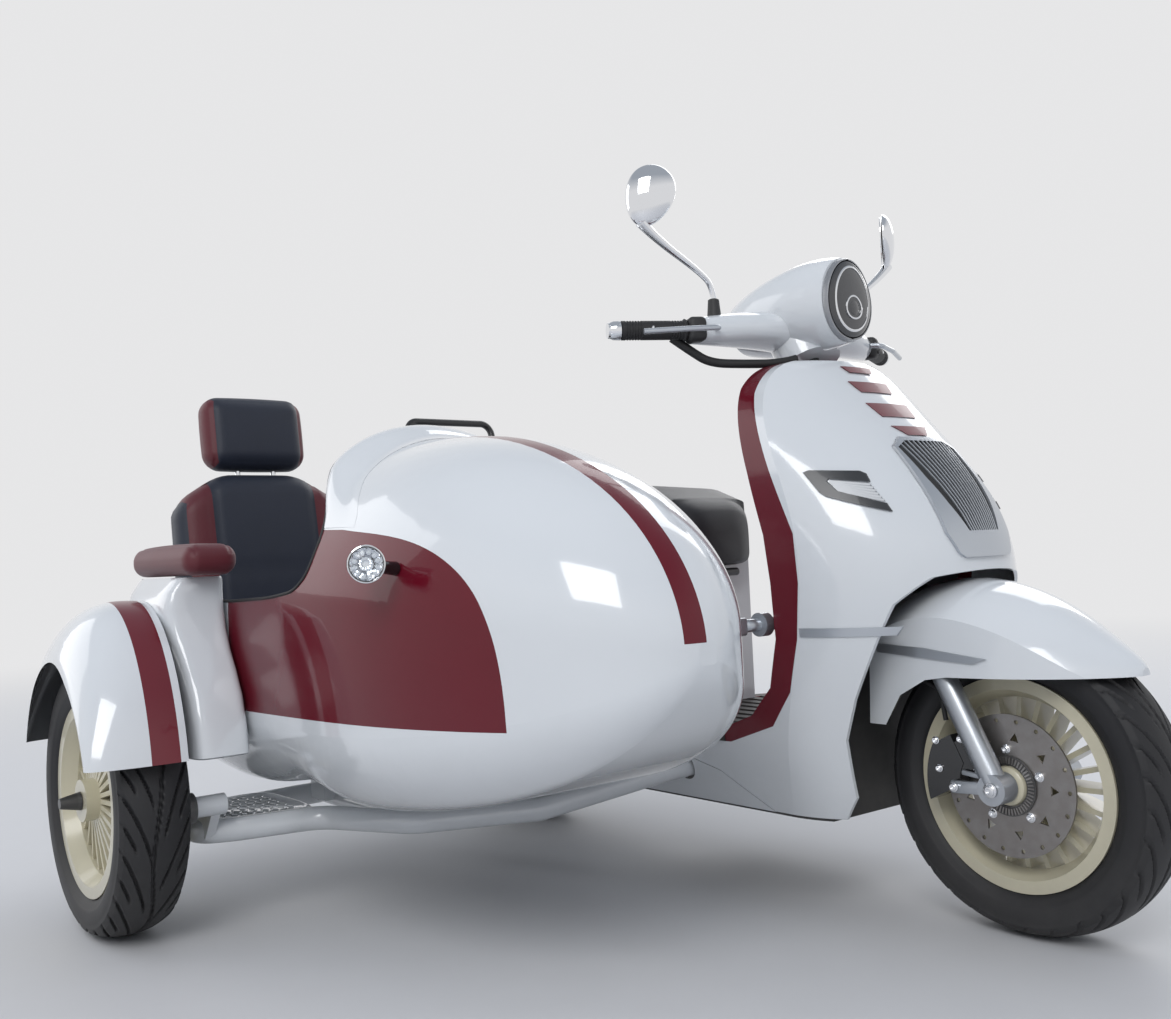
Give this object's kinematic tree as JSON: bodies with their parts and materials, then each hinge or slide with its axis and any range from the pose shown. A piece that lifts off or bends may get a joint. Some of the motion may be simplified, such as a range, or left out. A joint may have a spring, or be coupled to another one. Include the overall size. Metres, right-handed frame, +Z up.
{
  "type": "scooter with sidecar",
  "caption": "Retro motor scooter with a one-seat sidecar on its right: turning wheels, steering fork and handlebar, and a saddle that lifts off a storage bucket.",
  "frame": {"origin": "middle of the footprint on the floor", "axes": "+X ahead, +Y to the rider's left, +Z up"},
  "size_m": [1.92, 1.5654, 1.286],
  "materials": {
    "tyre": "black tread rubber",
    "wheel_paint": "cream wheel paint",
    "white_paint": "glossy white",
    "red_paint": "glossy dark red",
    "steel": "machined steel",
    "silver": "satin silver",
    "chrome": "mirror chrome",
    "black_metal": "semi-gloss black",
    "black_plastic": "grained black plastic",
    "gloss_black": "polished black plastic",
    "rubber": "moulded rubber",
    "soft_black": "black synthetic leather",
    "soft_red": "dark red and black synthetic leather",
    "lens": "clear lens over a reflector",
    "red_lens": "red lens",
    "cast": "cast alloy"
  },
  "bodies": {
    "chassis": {"leg_shield": "white_paint", "inner_shield": "red_paint", "grille": "gloss_black", "grille_surround": "silver", "side_trims": "silver", "nose_slats": "red_paint", "front_winkers": "gloss_black", "floorboard": "black_plastic", "floor_skirts": "white_paint", "under_tray": "black_plastic", "frame": "black_metal", "rear_body": "white_paint", "seat_bucket": "black_plastic", "seat_hinge": "black_metal", "red_panels": "red_paint", "tub": "white_paint", "seat_cushion": "soft_red", "seat_back": "soft_red", "headrest": "soft_red", "armrest_post": "white_paint", "armrest_pad": "soft_black", "sidecar_fender": "white_paint", "fender_stripe": "red_paint", "sidecar_frame": "white_paint", "step_plate": "white_paint", "sidecar_arm": "black_metal", "turn_lamp": "chrome", "upper_strut": "silver", "engine": "cast", "muffler": "black_metal", "rear_shock": "black_metal", "rack": "chrome", "rear_mudguard": "black_plastic", "tail_lamp": "red_lens"},
    "steering": {"fork": "silver", "steering_yoke": "black_metal", "front_fender": "white_paint", "fender_strips": "silver", "handlebar": "chrome", "grips": "rubber", "headset": "white_paint", "headlight": "lens", "mirrors": "chrome", "levers": "silver", "caliper": "gloss_black", "brake_hose": "rubber"},
    "front_wheel": {"front_tyre": "tyre", "front_rim": "wheel_paint", "brake_disc": "steel"},
    "rear_wheel": {"rear_tyre": "tyre", "rear_rim": "wheel_paint"},
    "sidecar_wheel": {"sidecar_tyre": "tyre", "sidecar_rim": "wheel_paint"},
    "saddle_lid": {"saddle": "soft_black"}
  },
  "joints": [
    {"name": "steering_turn", "type": "hinge", "parent": "chassis", "child": "steering", "pos_m": [0.813, 0.392, 0], "axis": [-0.454, 0, 0.891], "range_deg": [-38, 38]},
    {"name": "front_wheel_spin", "type": "hinge", "parent": "steering", "child": "front_wheel", "pos_m": [0.728, 0.392, 0.236], "axis": [0, 1, 0], "continuous": true},
    {"name": "rear_wheel_spin", "type": "hinge", "parent": "chassis", "child": "rear_wheel", "pos_m": [-0.622, 0.392, 0.236], "axis": [0, 1, 0], "continuous": true},
    {"name": "sidecar_wheel_spin", "type": "hinge", "parent": "chassis", "child": "sidecar_wheel", "pos_m": [-0.387, -0.675, 0.236], "axis": [0, 1, 0], "continuous": true},
    {"name": "saddle_lift", "type": "hinge", "parent": "chassis", "child": "saddle_lid", "pos_m": [0.052, 0.392, 0.573], "axis": [0, 1, 0], "range_deg": [0, 50]}
  ]
}
